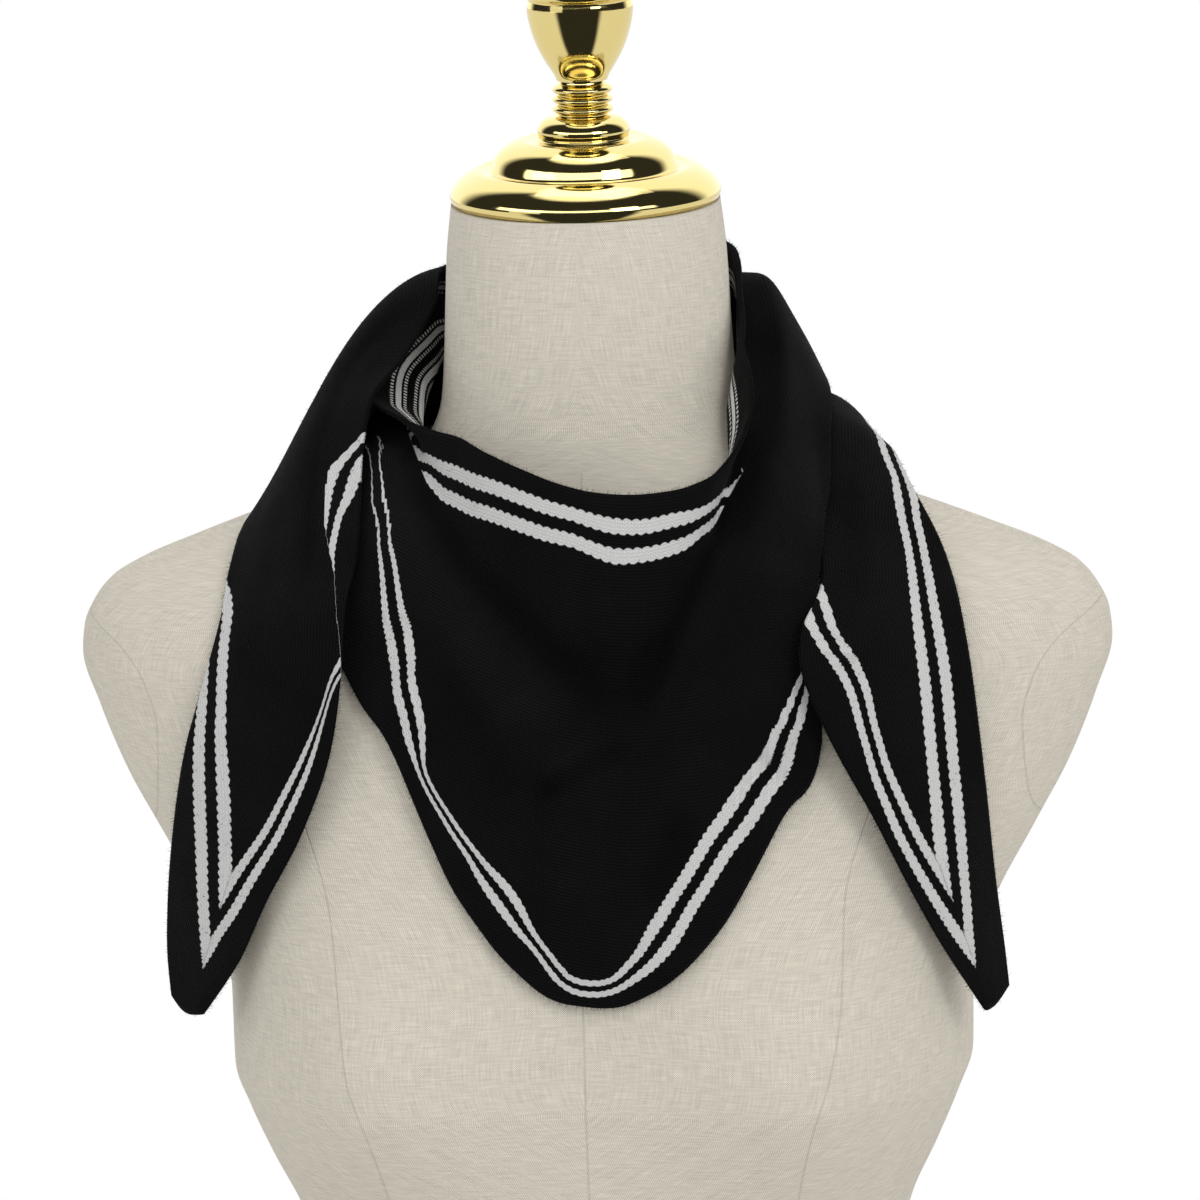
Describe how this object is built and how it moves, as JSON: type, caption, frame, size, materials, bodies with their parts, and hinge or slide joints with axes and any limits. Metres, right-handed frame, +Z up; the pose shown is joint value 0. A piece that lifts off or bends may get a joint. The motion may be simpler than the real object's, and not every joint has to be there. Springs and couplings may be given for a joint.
{
  "type": "knitted triangle scarf on a dress form",
  "caption": "Black knitted triangle scarf with white edge stripes, wound once round the neck of a linen-covered dress form with a gold neck cap and finial.",
  "frame": {"origin": "centre of the dress form's flat base", "axes": "+Z up along the neck, -Y out of the chest, +X towards the side where the scarf's end comes out from under its turn"},
  "size_m": [0.391, 0.2104, 0.6532],
  "materials": {
    "linen": "plain woven linen, matt",
    "gold": "polished gold plate",
    "knit": "fine black knit with two white stripes along each edge, slightly fuzzy"
  },
  "bodies": {
    "root": {"dress_form": "linen", "neck_cap": "gold", "finial_stem": "gold", "finial_vase": "gold", "finial_knob": "gold", "scarf_front_panel": "knit", "scarf_wrap_left": "knit", "scarf_wrap_right": "knit", "scarf_end_left": "knit", "scarf_end_right": "knit"}
  },
  "joints": []
}
